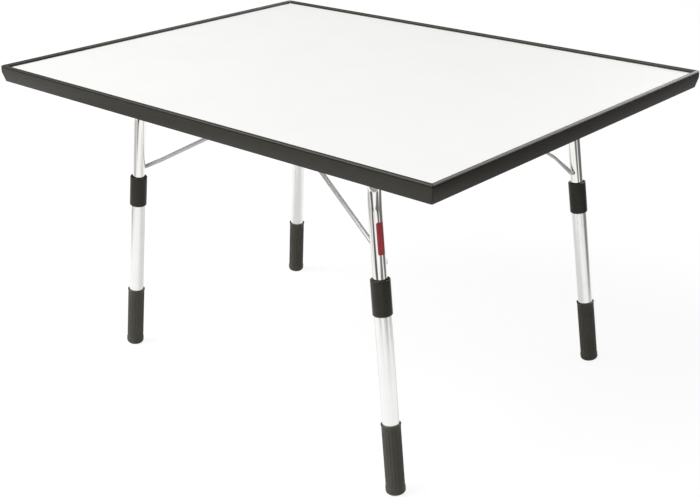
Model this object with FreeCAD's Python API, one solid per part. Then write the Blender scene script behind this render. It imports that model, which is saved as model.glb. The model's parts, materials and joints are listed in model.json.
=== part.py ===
"""Folding camping table with telescopic legs, in millimetres, +Z up.

The origin is on the floor under the middle of the table top.  X runs along the long side.
The legs hang in two bent-tube frames, a wide one at +X and a narrow one at -X, which nest when
they fold up under the top.  Each frame is braced by a bent-wire stay that hooks into its legs.
"""
import FreeCAD, Part
import math
import os
from FreeCAD import Placement, Rotation, Vector

# Overall sizes
TOP_LENGTH = 800.0
TOP_WIDTH = 600.0
TOP_HEIGHT = 464.6

# Panel and edge profile
PANEL_THICKNESS = 15.0
PANEL_CLEARANCE = 0.1
RIM_HEIGHT = 23.9
RIM_LIP_WIDTH = 6.0
RIM_LIP_PROUD = 4.6
RIM_BEAD_RISE = 2.0
RIM_FACE_HEIGHT = 10.4
RIM_SLANT = 3.2
RIM_LEDGE_REACH = 12.0
RIM_LEDGE_THICKNESS = 2.0
RIM_SKIRT = 2.2
RIM_GROOVE_DEPTH = 0.5
RIM_GROOVE_WIDTH = 0.9
RIM_GROOVE_DROP = 0.4

# Leg frames
TUBE_DIAMETER = 18.0
TUBE_WALL = 1.2
WIDE_PIVOT_INSET = 156.5
NARROW_PIVOT_INSET = 153.5
PIVOT_GAP = 2.0
WIDE_LEG_LEAN = 6.9
NARROW_LEG_LEAN = 6.6
LEG_SPREAD = 2.45
NECK_LEAN = 5.0
KNEE_DROP = 56.0
KNEE_RADIUS = 160.0
CORNER_RADIUS = 40.0
WIDE_KNEE_HALF = 219.6
NARROW_KNEE_HALF = 170.6

# Telescopic lower legs
LOWER_DIAMETER = 22.0
LOWER_WALL = 1.0
SLIDE_CLEARANCE = 0.08
SLEEVE_DROP = 89.5
SLEEVE_DIAMETER = 25.5
SLEEVE_LENGTH = 47.0
SLEEVE_MOUTH_DEPTH = 2.6
SLEEVE_MOUTH_FLARE = 1.9
SLEEVE_NECK_LENGTH = 4.0
SLEEVE_NECK_CLEARANCE = 0.4
SLEEVE_CHAMFER = 0.6
SLEEVE_ROUND = 1.2
COLLET_TAPER_LENGTH = 17.0
COLLET_TIP_WALL = 0.9
COLLET_FLANGE = 3.0
COLLET_SPIGOT = 12.0
COLLET_SLOTS = 3
COLLET_SLOT_WIDTH = 1.6
COLLET_SEAT_CLEARANCE = 0.2
INNER_END_RISE = 48.0
BUSH_COLLAR = 16.0
BUSH_CAP = 3.0

# Rubber feet
FOOT_DIAMETER = 25.2
FOOT_LENGTH = 98.0
FOOT_BAND_DIAMETER = 26.4
FOOT_BAND_HEIGHT = 11.0
FOOT_LIP_FLARE = 0.7
FOOT_LIP_HEIGHT = 4.0
FOOT_SOLE = 8.0
FOOT_SOLE_ROUND = 5.0
FOOT_FIT = 0.05
FLUTE_COUNT = 18
FLUTE_DEPTH = 0.6
FLUTE_RADIUS = 1.5
FLUTE_MARGIN = 5.0

# Wire stays
WIRE_DIAMETER = 6.0
STAY_BAR_X = 14.0
STAY_BAR_GAP = 6.0
STAY_CORNER_RADIUS = 12.0
STAY_BEND_RADIUS = 18.0
STAY_HOOK_RADIUS = 4.5
STAY_HOOK_REACH = 5.6
STAY_HOOK_GAP = 0.5
STAY_KINK_RUN = 26.0
WIDE_KINK_RISE = 19.0
WIDE_KINK_INSET = 1.4
NARROW_KINK_RISE = 13.0
NARROW_KINK_INSET = 7.0
WIDE_STAY_BAR_HALF = 144.5
NARROW_STAY_BAR_HALF = 97.0
WIDE_HOOK_DROP = 129.0
NARROW_HOOK_DROP = 133.0
HOOK_HOLE_DIAMETER = 7.0

# Saddle clips and their screws
RUNNING_CLEARANCE = 0.05
PIVOT_CLIP_WALL = 2.5
PIVOT_CLIP_WIDTH = 26.0
PIVOT_CLIP_FLANGE = 14.0
WIDE_CLIP_HALF = 120.0
NARROW_CLIP_HALF = 88.0
STAY_CLIP_WALL = 2.0
STAY_CLIP_WIDTH = 16.0
STAY_CLIP_FLANGE = 10.0
WIDE_STAY_CLIP_HALF = 112.0
NARROW_STAY_CLIP_HALF = 66.0
CLIP_CORNER_ROUND = 3.0
SCREW_DIAMETER = 3.5
SCREW_DEPTH = 11.0
SCREW_HEAD_DIAMETER = 7.2
SCREW_HEAD_HEIGHT = 2.4
SCREW_CLEARANCE = 0.1

# Places worked out from the sizes above
PANEL_TOP = TOP_HEIGHT - RIM_LIP_PROUD
PANEL_UNDERSIDE = PANEL_TOP - PANEL_THICKNESS
TUBE_RADIUS = TUBE_DIAMETER / 2
LOWER_RADIUS = LOWER_DIAMETER / 2
LOWER_BORE_RADIUS = LOWER_RADIUS - LOWER_WALL
WIRE_RADIUS = WIRE_DIAMETER / 2
PIVOT_Z = PANEL_UNDERSIDE - PIVOT_GAP - TUBE_RADIUS
STAY_BAR_Z = PANEL_UNDERSIDE - STAY_BAR_GAP - WIRE_RADIUS
SPREAD = math.radians(LEG_SPREAD)
NECK = math.radians(NECK_LEAN)
X_AXIS = Vector(1, 0, 0)
Y_AXIS = Vector(0, 1, 0)
Z_AXIS = Vector(0, 0, 1)
SIDES = {"front": -1, "back": 1}


class Pair:
    """One pair of legs: which end it stands at, and the sizes in which the two pairs differ."""

    def __init__(self, direction, inset, lean, knee_half, hook_drop, kink_rise, kink_inset, bar_half,
                 clip_half, stay_clip_half):
        self.direction = direction
        self.pivot_x = direction * (TOP_LENGTH / 2 - inset)
        self.lean = lean
        self.knee_half = knee_half
        self.hook_drop = hook_drop
        self.kink_rise = kink_rise
        self.kink_inset = kink_inset
        self.bar_x = direction * STAY_BAR_X
        self.bar_half = bar_half
        self.clip_half = clip_half
        self.stay_clip_half = stay_clip_half
        self.sole = self.leg_length()
        self.inner_end = self.sole - INNER_END_RISE

    def leg_length(self):
        """Length along a leg's axis from knee to sole, at which the sole's edge is on the floor."""
        lean = math.radians(self.lean)
        tilt = math.acos(math.cos(lean) * math.cos(SPREAD))
        ring = FOOT_BAND_DIAMETER / 2 - FOOT_SOLE_ROUND
        lift = ring * math.sin(tilt) + FOOT_SOLE_ROUND * (1 - math.cos(tilt))
        drop = (PIVOT_Z - lift) / math.cos(lean)
        return (drop - KNEE_DROP) / math.cos(SPREAD)


PAIRS = {
    "wide": Pair(1, WIDE_PIVOT_INSET, WIDE_LEG_LEAN, WIDE_KNEE_HALF, WIDE_HOOK_DROP, WIDE_KINK_RISE,
                 WIDE_KINK_INSET, WIDE_STAY_BAR_HALF, WIDE_CLIP_HALF, WIDE_STAY_CLIP_HALF),
    "narrow": Pair(-1, NARROW_PIVOT_INSET, NARROW_LEG_LEAN, NARROW_KNEE_HALF, NARROW_HOOK_DROP,
                   NARROW_KINK_RISE, NARROW_KINK_INSET, NARROW_STAY_BAR_HALF, NARROW_CLIP_HALF,
                   NARROW_STAY_CLIP_HALF),
}


def polygon(points):
    """Closed wire through the points."""
    return Part.makePolygon(points + points[:1])


def revolve_profile(points):
    """Solid turned about the local Z axis from (radius, height) points."""
    face = Part.Face(polygon([Vector(radius, 0, height) for radius, height in points]))
    return face.revolve(Vector(), Z_AXIS, 360)


def rounded_path(points, radii):
    """Wire of straight runs joined by tangent arcs, one radius for each inner point."""
    edges = []
    start = points[0]
    for before, corner, after, radius in zip(points, points[1:], points[2:], radii):
        arriving = (before - corner).normalize()
        leaving = (after - corner).normalize()
        half = arriving.getAngle(leaving) / 2
        setback = radius / math.tan(half)
        bisector = (arriving + leaving).normalize()
        middle = corner + bisector * (radius / math.sin(half) - radius)
        arc_start = corner + arriving * setback
        arc_end = corner + leaving * setback
        edges.append(Part.LineSegment(start, arc_start).toShape())
        edges.append(Part.Arc(arc_start, middle, arc_end).toShape())
        start = arc_end
    edges.append(Part.LineSegment(start, points[-1]).toShape())
    return Part.Wire(edges)


def rod(points, radii, radius):
    """Round bar of the given radius swept along a rounded path."""
    path = rounded_path(points, radii)
    circle = Part.Circle(points[0], points[1] - points[0], radius)
    section = Part.Face(Part.Wire(circle.toShape()))
    return path.makePipe(section)


def mirrored_run(points):
    """The points followed by their mirror images in Y, so that the run is symmetric."""
    return points + [Vector(p.x, -p.y, p.z) for p in reversed(points)]


def rim_section():
    """Edge profile in the XZ plane, with X inwards from the outer face and Z from the floor."""
    top = TOP_HEIGHT
    bottom = TOP_HEIGHT - RIM_HEIGHT
    shoulder = top - RIM_BEAD_RISE
    groove = shoulder - RIM_GROOVE_DROP
    inner = RIM_LIP_WIDTH
    ledge = PANEL_UNDERSIDE
    ledge_end = RIM_LIP_WIDTH + RIM_LEDGE_REACH
    ledge_under = ledge - RIM_LEDGE_THICKNESS
    skirt = RIM_SLANT + RIM_SKIRT

    def at(x, z):
        return Vector(x, 0, z)

    bead = Part.Arc(at(0, shoulder), at(inner / 2, top), at(inner, shoulder))
    groove_arc = Part.Arc(at(0, groove - RIM_GROOVE_WIDTH),
                          at(RIM_GROOVE_DEPTH, groove - RIM_GROOVE_WIDTH / 2), at(0, groove))
    corners = [at(inner, shoulder), at(inner, ledge), at(ledge_end, ledge),
               at(ledge_end, ledge_under), at(skirt, ledge_under), at(skirt, bottom),
               at(RIM_SLANT, bottom), at(0, top - RIM_FACE_HEIGHT), at(0, groove - RIM_GROOVE_WIDTH)]
    edges = [bead.toShape()] + [Part.makeLine(a, b) for a, b in zip(corners, corners[1:])]
    edges += [groove_arc.toShape(), Part.makeLine(at(0, groove), at(0, shoulder))]
    return Part.Face(Part.Wire(edges))


def rim_length(length, reach):
    """One mitred length of the edge profile along Y, with its outer face at X = -reach."""
    bar = rim_section().extrude(Vector(0, length, 0))
    bar.translate(Vector(-reach, -length / 2, 0))
    depth = RIM_LIP_WIDTH + RIM_LEDGE_REACH
    half = length / 2
    plan = [Vector(-reach, -half, 0), Vector(-reach + depth, -half + depth, 0),
            Vector(-reach + depth, half - depth, 0), Vector(-reach, half, 0)]
    return bar.common(Part.Face(polygon(plan)).extrude(Vector(0, 0, TOP_HEIGHT)))


def rims():
    """The four mitred lengths of edge profile."""
    end = rim_length(TOP_WIDTH, TOP_LENGTH / 2)
    side = rim_length(TOP_LENGTH, TOP_WIDTH / 2)
    turns = {"rim_left": (end, 0), "rim_front": (side, 90), "rim_right": (end, 180), "rim_back": (side, 270)}
    return {name: turned(shape, angle) for name, (shape, angle) in turns.items()}


def turned(shape, angle):
    """Copy of a shape turned about the vertical axis through the origin."""
    copy = shape.copy()
    copy.rotate(Vector(), Z_AXIS, angle)
    return copy


def panel():
    """Table board with the pilot holes for every screw."""
    length = TOP_LENGTH - 2 * (RIM_LIP_WIDTH + PANEL_CLEARANCE)
    width = TOP_WIDTH - 2 * (RIM_LIP_WIDTH + PANEL_CLEARANCE)
    board = Part.makeBox(length, width, PANEL_THICKNESS, Vector(-length / 2, -width / 2, PANEL_UNDERSIDE))
    radius = SCREW_DIAMETER / 2 + SCREW_CLEARANCE
    depth = SCREW_DEPTH + SCREW_CLEARANCE
    holes = [Part.makeCylinder(radius, depth, Vector(x, y, PANEL_UNDERSIDE))
             for x, y, _ in pivot_screw_places() + stay_screw_places()]
    return board.cut(holes)


def saddle(bar_radius, drop, wall, flange, width):
    """Saddle clip round a bar along Y at the local origin, with flanges at the given height."""
    bore = bar_radius + RUNNING_CLEARANCE
    outer = bore + wall
    end = outer + flange

    def at(x, z):
        return Vector(x, -width / 2, z)

    corners = [at(outer, 0), at(outer, drop - wall), at(end, drop - wall), at(end, drop), at(bore, drop),
               at(bore, 0)]
    mirrored = [Vector(-p.x, p.y, p.z) for p in reversed(corners)]
    edges = [Part.makeLine(a, b) for a, b in zip(corners, corners[1:])]
    edges.append(Part.Arc(corners[-1], at(0, -bore), mirrored[0]).toShape())
    edges += [Part.makeLine(a, b) for a, b in zip(mirrored, mirrored[1:])]
    edges.append(Part.Arc(mirrored[-1], at(0, -outer), corners[0]).toShape())
    clip = Part.Face(Part.Wire(edges)).extrude(Vector(0, width, 0))
    hole_x = outer + flange / 2
    holes = [Part.makeCylinder(SCREW_DIAMETER / 2 + SCREW_CLEARANCE, wall, Vector(x, 0, drop - wall))
             for x in (-hole_x, hole_x)]
    clip = clip.cut(holes)
    rounded = [edge for edge in clip.Edges
               if abs(edge.CenterOfMass.x) > end - SCREW_CLEARANCE and edge.Length < wall + SCREW_CLEARANCE
               and edge.BoundBox.ZLength > wall / 2]
    return clip.makeFillet(CLIP_CORNER_ROUND, rounded)


def clip_places():
    """Name and place of each saddle clip, on the axis of the bar that it holds."""
    places = {}
    for name, pair in PAIRS.items():
        for side, sign in SIDES.items():
            places[f"{name}_pivot_clip_{side}"] = (pair.pivot_x, sign * pair.clip_half, PIVOT_Z)
            places[f"{name}_stay_clip_{side}"] = (pair.bar_x, sign * pair.stay_clip_half, STAY_BAR_Z)
    return places


def clips():
    """Every saddle clip under the panel."""
    pivot_clip = saddle(TUBE_RADIUS, PANEL_UNDERSIDE - PIVOT_Z, PIVOT_CLIP_WALL, PIVOT_CLIP_FLANGE,
                        PIVOT_CLIP_WIDTH)
    stay_clip = saddle(WIRE_RADIUS, PANEL_UNDERSIDE - STAY_BAR_Z, STAY_CLIP_WALL, STAY_CLIP_FLANGE,
                       STAY_CLIP_WIDTH)
    shapes = {}
    for name, place in clip_places().items():
        shapes[name] = (pivot_clip if "pivot" in name else stay_clip).copy()
        shapes[name].translate(Vector(*place))
    return shapes


def screw_places(kind, bar_radius, wall, flange):
    """X, Y and head height of the two screws of every clip of a kind."""
    reach = bar_radius + RUNNING_CLEARANCE + wall + flange / 2
    return [(x + step, y, PANEL_UNDERSIDE - wall)
            for name, (x, y, _) in clip_places().items() if kind in name
            for step in (-reach, reach)]


def pivot_screw_places():
    """Places of the pivot clips' screws."""
    return screw_places("pivot", TUBE_RADIUS, PIVOT_CLIP_WALL, PIVOT_CLIP_FLANGE)


def stay_screw_places():
    """Places of the stay clips' screws."""
    return screw_places("stay", WIRE_RADIUS, STAY_CLIP_WALL, STAY_CLIP_FLANGE)


def screws(places):
    """Pan-head screws driven up through the clips into the panel, as one group of solids."""
    head_radius = SCREW_HEAD_DIAMETER / 2
    group = []
    for x, y, seat in places:
        shank_top = PANEL_UNDERSIDE + SCREW_DEPTH - seat
        screw = revolve_profile([(0, shank_top), (SCREW_DIAMETER / 2, shank_top), (SCREW_DIAMETER / 2, 0),
                                 (head_radius, 0), (head_radius, -SCREW_HEAD_HEIGHT / 2),
                                 (head_radius / 2, -SCREW_HEAD_HEIGHT), (0, -SCREW_HEAD_HEIGHT)])
        screw.translate(Vector(x, y, seat))
        group.append(screw)
    return Part.makeCompound(group)


def frame_placement(pair):
    """Places a frame drawn in the YZ plane, with its pivot at the origin, on its pivot."""
    return Placement(Vector(pair.pivot_x, 0, PIVOT_Z), Rotation(Y_AXIS, -pair.direction * pair.lean))


def leg_half(pair, drop):
    """Half the distance between a pair's leg axes, at a distance below the pivot in the frame's plane."""
    return pair.knee_half + (drop - KNEE_DROP) * math.tan(SPREAD)


def leg_placement(pair, side):
    """Places a shape drawn about local Z, with the knee at the origin and the leg downwards, on a leg."""
    tilt = Rotation(X_AXIS, SIDES[side] * LEG_SPREAD)
    knee = Placement(Vector(0, SIDES[side] * pair.knee_half, -KNEE_DROP), tilt)
    return frame_placement(pair).multiply(knee)


def placed(shape, placement):
    """Copy of a shape at a placement."""
    copy = shape.copy()
    copy.Placement = placement.multiply(copy.Placement)
    return copy


def leg_frame(pair):
    """Bent tube of a leg pair: cross bar, corners, necks, knees and the inner telescope tubes."""
    knee = Vector(0, pair.knee_half, -KNEE_DROP)
    corner = Vector(0, pair.knee_half - KNEE_DROP * math.tan(NECK), 0)
    end = knee + Vector(0, math.sin(SPREAD), -math.cos(SPREAD)) * pair.inner_end
    run = mirrored_run([end, knee, corner])
    radii = [KNEE_RADIUS, CORNER_RADIUS, CORNER_RADIUS, KNEE_RADIUS]
    tube = rod(run, radii, TUBE_RADIUS).cut(rod(run, radii, TUBE_RADIUS - TUBE_WALL))
    hook_half = leg_half(pair, pair.hook_drop)
    hook_holes = Part.makeCylinder(HOOK_HOLE_DIAMETER / 2, 2 * hook_half,
                                   Vector(0, -hook_half, -pair.hook_drop), Y_AXIS)
    return placed(tube.cut(hook_holes), frame_placement(pair))


def stay(pair):
    """Bent wire from the bar under the panel to the hooks beside the legs."""
    leg = frame_placement(pair).multVec(Vector(0, leg_half(pair, pair.hook_drop), -pair.hook_drop))
    tip = leg - Vector(0, TUBE_RADIUS + STAY_HOOK_GAP, 0)
    hook = leg - Vector(0, TUBE_RADIUS + STAY_HOOK_REACH, 0)
    kink = hook + Vector(-pair.direction * STAY_KINK_RUN, -pair.kink_inset, pair.kink_rise)
    bar = Vector(pair.bar_x, pair.bar_half, STAY_BAR_Z)
    run = mirrored_run([tip, hook, kink, bar])
    half_radii = [STAY_HOOK_RADIUS, STAY_BEND_RADIUS, STAY_CORNER_RADIUS]
    return rod(run, half_radii + half_radii[::-1], WIRE_RADIUS)


def lock_sleeve():
    """Twist sleeve round the telescope joint, with a flared mouth and a tapered seat inside."""
    outer = SLEEVE_DIAMETER / 2
    neck = TUBE_RADIUS + SLEEVE_NECK_CLEARANCE
    bore = LOWER_RADIUS + SLIDE_CLEARANCE
    seat_top = SLEEVE_MOUTH_DEPTH + SLEEVE_NECK_LENGTH
    seat = seat_top + COLLET_TAPER_LENGTH
    tip = TUBE_RADIUS + SLIDE_CLEARANCE + COLLET_TIP_WALL + COLLET_SEAT_CLEARANCE
    profile = [(neck + SLEEVE_MOUTH_FLARE, 0), (outer - SLEEVE_CHAMFER, 0), (outer, -SLEEVE_CHAMFER),
               (outer, -SLEEVE_LENGTH + SLEEVE_ROUND), (outer - SLEEVE_ROUND, -SLEEVE_LENGTH),
               (bore, -SLEEVE_LENGTH), (bore, -seat), (tip, -seat_top), (neck, -seat_top),
               (neck, -SLEEVE_MOUTH_DEPTH)]
    sleeve = revolve_profile(profile)
    sleeve.translate(Vector(0, 0, -SLEEVE_DROP))
    return sleeve


def collet():
    """Split clamp ring inside the sleeve, seated on the lower tube's end."""
    bore = TUBE_RADIUS + SLIDE_CLEARANCE
    tip = bore + COLLET_TIP_WALL
    root = LOWER_RADIUS
    spigot = LOWER_BORE_RADIUS - SLIDE_CLEARANCE
    tip_drop = SLEEVE_MOUTH_DEPTH + SLEEVE_NECK_LENGTH + COLLET_SEAT_CLEARANCE
    root_drop = SLEEVE_MOUTH_DEPTH + SLEEVE_NECK_LENGTH + COLLET_TAPER_LENGTH
    end = root_drop + COLLET_FLANGE
    profile = [(bore, -tip_drop), (tip, -tip_drop), (root, -root_drop), (root, -end), (spigot, -end),
               (spigot, -end - COLLET_SPIGOT), (bore, -end - COLLET_SPIGOT)]
    ring = revolve_profile(profile)
    slots = []
    for index in range(COLLET_SLOTS):
        slot = Part.makeBox(SLEEVE_DIAMETER, COLLET_SLOT_WIDTH, root_drop - tip_drop,
                            Vector(0, -COLLET_SLOT_WIDTH / 2, -root_drop))
        slot.rotate(Vector(), Z_AXIS, 360 * index / COLLET_SLOTS)
        slots.append(slot)
    ring = ring.cut(slots)
    ring.translate(Vector(0, 0, -SLEEVE_DROP))
    return ring


def lower_tube(pair):
    """Outer telescope tube, from the collet's flange to the sole inside the foot."""
    top = SLEEVE_DROP + SLEEVE_MOUTH_DEPTH + SLEEVE_NECK_LENGTH + COLLET_TAPER_LENGTH + COLLET_FLANGE
    length = pair.sole - FOOT_SOLE - top
    outer = Part.makeCylinder(LOWER_RADIUS, length)
    tube = outer.cut(Part.makeCylinder(LOWER_BORE_RADIUS, length))
    tube.translate(Vector(0, 0, -top - length))
    return tube


def guide_bush(pair):
    """Plug in the inner tube's end, with a collar that guides it down the lower tube."""
    collar = LOWER_BORE_RADIUS - SLIDE_CLEARANCE
    fit = TUBE_RADIUS - TUBE_WALL - SLIDE_CLEARANCE
    bush = revolve_profile([(0, BUSH_COLLAR), (fit, BUSH_COLLAR), (fit, 0), (collar, 0), (collar, -BUSH_CAP),
                            (0, -BUSH_CAP)])
    bush.translate(Vector(0, 0, -pair.inner_end))
    return bush


def foot(pair):
    """Fluted rubber foot with a flared lip, a bottom band and a rounded sole."""
    body = FOOT_DIAMETER / 2
    band = FOOT_BAND_DIAMETER / 2
    lip = body + FOOT_LIP_FLARE
    bore = LOWER_RADIUS + FOOT_FIT
    ring = band - FOOT_SOLE_ROUND
    bevel = FOOT_SOLE_ROUND * (1 - math.sqrt(0.5))

    def at(radius, height):
        return Vector(radius, 0, height)

    sole_round = Part.Arc(at(ring, 0), at(band - bevel, bevel), at(band, FOOT_SOLE_ROUND))
    corners = [at(band, FOOT_SOLE_ROUND), at(band, FOOT_BAND_HEIGHT - FOOT_LIP_FLARE),
               at(body, FOOT_BAND_HEIGHT), at(body, FOOT_LENGTH - FOOT_LIP_HEIGHT),
               at(lip, FOOT_LENGTH - FOOT_LIP_FLARE), at(lip - FOOT_LIP_FLARE, FOOT_LENGTH),
               at(bore, FOOT_LENGTH), at(bore, FOOT_SOLE), at(0, FOOT_SOLE), at(0, 0), at(ring, 0)]
    edges = [sole_round.toShape()] + [Part.makeLine(a, b) for a, b in zip(corners, corners[1:])]
    cap = Part.Face(Part.Wire(edges)).revolve(Vector(), Z_AXIS, 360)
    flute_low = FOOT_BAND_HEIGHT + FLUTE_MARGIN
    flute_length = FOOT_LENGTH - FOOT_LIP_HEIGHT - FLUTE_MARGIN - flute_low
    flutes = []
    for index in range(FLUTE_COUNT):
        flute = Part.makeCylinder(FLUTE_RADIUS, flute_length,
                                  Vector(body - FLUTE_DEPTH + FLUTE_RADIUS, 0, flute_low))
        flute.rotate(Vector(), Z_AXIS, 360 * index / FLUTE_COUNT)
        flutes.append(flute)
    cap = cap.cut(flutes)
    cap.translate(Vector(0, 0, -pair.sole))
    return cap


def leg_pieces():
    """The lower-leg pieces of all four legs."""
    shapes = {}
    for name, pair in PAIRS.items():
        drawn = {"lock_sleeve": lock_sleeve(), "clamp_collet": collet(), "lower_tube": lower_tube(pair),
                 "guide_bush": guide_bush(pair), "foot": foot(pair)}
        for side in SIDES:
            place = leg_placement(pair, side)
            for piece, shape in drawn.items():
                shapes[f"{name}_{side}_{piece}"] = placed(shape, place)
    return shapes


def table():
    """Every node's name and shape."""
    shapes = {"top_panel": panel()}
    shapes.update(rims())
    shapes.update(clips())
    shapes["pivot_clip_screws"] = screws(pivot_screw_places())
    shapes["stay_clip_screws"] = screws(stay_screw_places())
    for name, pair in PAIRS.items():
        shapes[name + "_leg_frame"] = leg_frame(pair)
        shapes[name + "_stay"] = stay(pair)
    shapes.update(leg_pieces())
    return shapes


os.makedirs("parts", exist_ok=True)
for node, shape in table().items():
    shape.exportStep(f"parts/{node}.step")
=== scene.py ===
"""Looks of a folding camping table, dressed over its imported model.  Lengths are in metres, +Z up."""
import json
import logging
import math
from dataclasses import dataclass
from enum import Enum
from typing import Iterable, Mapping, Sequence

import bmesh
import bpy
from mathutils import Matrix, Vector


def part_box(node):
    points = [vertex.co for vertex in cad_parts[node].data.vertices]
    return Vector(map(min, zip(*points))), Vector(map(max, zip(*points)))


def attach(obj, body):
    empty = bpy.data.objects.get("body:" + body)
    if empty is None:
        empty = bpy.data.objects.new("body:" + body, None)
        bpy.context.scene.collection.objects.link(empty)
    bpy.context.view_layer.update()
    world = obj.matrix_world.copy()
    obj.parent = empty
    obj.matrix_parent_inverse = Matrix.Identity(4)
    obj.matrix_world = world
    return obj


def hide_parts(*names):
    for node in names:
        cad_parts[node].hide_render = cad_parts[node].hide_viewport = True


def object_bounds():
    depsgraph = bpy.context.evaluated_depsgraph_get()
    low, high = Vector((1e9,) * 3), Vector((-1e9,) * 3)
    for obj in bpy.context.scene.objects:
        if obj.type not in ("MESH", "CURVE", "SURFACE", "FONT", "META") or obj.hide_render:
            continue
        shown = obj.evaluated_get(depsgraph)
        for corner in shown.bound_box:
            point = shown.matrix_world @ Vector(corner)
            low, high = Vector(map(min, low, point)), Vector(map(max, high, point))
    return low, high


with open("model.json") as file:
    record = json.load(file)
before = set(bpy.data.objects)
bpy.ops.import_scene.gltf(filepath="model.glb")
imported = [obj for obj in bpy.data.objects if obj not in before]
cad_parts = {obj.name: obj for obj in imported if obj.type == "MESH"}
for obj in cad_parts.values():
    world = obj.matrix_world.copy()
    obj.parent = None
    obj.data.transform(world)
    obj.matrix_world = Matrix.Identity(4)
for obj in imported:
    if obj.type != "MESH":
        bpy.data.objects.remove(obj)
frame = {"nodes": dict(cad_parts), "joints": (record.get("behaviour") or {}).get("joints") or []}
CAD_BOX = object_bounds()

LOG = logging.getLogger("camping_table")
GRAIN = "grain"
SMOOTH_ANGLE = math.radians(32)
MERGE_DISTANCE = 1e-7
ROUND_SHARE = 1 / 3
WEAK_NOISE = 0.3
STRONG_NOISE = 0.7
MOTTLE_OCTAVES = 4
RELIEF_OCTAVES = 3

Color = tuple[float, float, float]
RadiusHeight = tuple[float, float]
Mesh = bpy.types.Mesh
Object = bpy.types.Object
Socket = bpy.types.NodeSocket
Inputs = Mapping[str | int, object]


class Pair(Enum):
    """The two pairs of legs, which nest when they fold."""

    WIDE = "wide"
    NARROW = "narrow"

    @property
    def direction(self) -> int:
        """Sign of X at the end where the pair stands."""
        return 1 if self is Pair.WIDE else -1


class Side(Enum):
    """The two legs of a pair."""

    FRONT = "front"
    BACK = "back"

    @property
    def sign(self) -> int:
        """Sign of Y on the side where the leg stands."""
        return -1 if self is Side.FRONT else 1


class Pattern(Enum):
    """What the fine pattern of a finish follows."""

    BODY = "the piece's own space"
    DRAWN = "the stored grain, which runs along the piece"


# Node trees


class Graph:
    """A node tree, built step by step."""

    def __init__(self, tree: bpy.types.NodeTree) -> None:
        """Starts on a tree."""
        self.tree = tree

    def feed(self, target: bpy.types.Node, inputs: Inputs) -> None:
        """Sets sockets of a node to constants, or links outputs to them.

        Args:
            target: The node.
            inputs: Constant or output for each socket, by its name or number.
        """
        for socket, value in inputs.items():
            if isinstance(value, Socket):
                self.tree.links.new(value, target.inputs[socket])
            else:
                target.inputs[socket].default_value = value

    def node(self, kind: str, inputs: Inputs | None = None, **settings: str) -> bpy.types.Node:
        """Adds a node.

        Args:
            kind: Its type.
            inputs: Constant or output for each socket, by its name or number.
            settings: Its options.

        Returns:
            The node.
        """
        made = self.tree.nodes.new(kind)
        for option, value in settings.items():
            setattr(made, option, value)
        self.feed(made, inputs or {})
        return made

    def math(self, operation: str, *values: Socket | float) -> Socket:
        """Adds a sum of one or two values and gives its result."""
        return self.node("ShaderNodeMath", dict(enumerate(values)), operation=operation).outputs[0]


class Surface(Graph):
    """Node tree of one material about its principled shader."""

    def __init__(self, name: str) -> None:
        """Makes a material with one principled shader.

        Args:
            name: Name of the material.
        """
        self.material = bpy.data.materials.new(name)
        self.material.use_nodes = True
        super().__init__(self.material.node_tree)
        self.shader = self.tree.nodes["Principled BSDF"]

    def coordinates(self, pattern: Pattern, stretch: Sequence[float]) -> Socket:
        """Coordinates of a pattern, stretched.

        Args:
            pattern: What the pattern follows.
            stretch: Scale on each axis.

        Returns:
            The vector output.
        """
        if pattern is Pattern.DRAWN:
            source = self.node("ShaderNodeAttribute", attribute_name=GRAIN).outputs["Vector"]
        else:
            source = self.node("ShaderNodeTexCoord").outputs["Object"]
        return self.node("ShaderNodeMapping", {"Scale": stretch, "Vector": source}).outputs["Vector"]

    def noise(self, vector: Socket, scale: float, detail: float) -> Socket:
        """Noise between 0 and 1, by its spots in a metre and its octaves."""
        spots = {"Scale": scale, "Detail": detail, "Vector": vector}
        return self.node("ShaderNodeTexNoise", spots).outputs["Fac"]

    def spread(self, factor: Socket, low: float, high: float) -> Socket:
        """Noise spread from a value where it is weak to one where it is strong."""
        ranges = {"From Min": WEAK_NOISE, "From Max": STRONG_NOISE, "To Min": low, "To Max": high}
        return self.node("ShaderNodeMapRange", {"Value": factor, **ranges}).outputs["Result"]

    def mix(self, factor: Socket, first: Color, second: Color) -> Socket:
        """Mottling from a colour where the noise is weak to one where it is strong."""
        colors = {"A": (*first, 1), "B": (*second, 1), "Factor": self.spread(factor, 0, 1)}
        return self.node("ShaderNodeMix", colors, data_type="RGBA").outputs["Result"]

    def bump(self, height: Socket, distance: float) -> Socket:
        """Normal of a fine relief, by its noise and its height."""
        relief = {"Strength": 1, "Distance": distance, "Height": height}
        return self.node("ShaderNodeBump", relief).outputs["Normal"]


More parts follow.
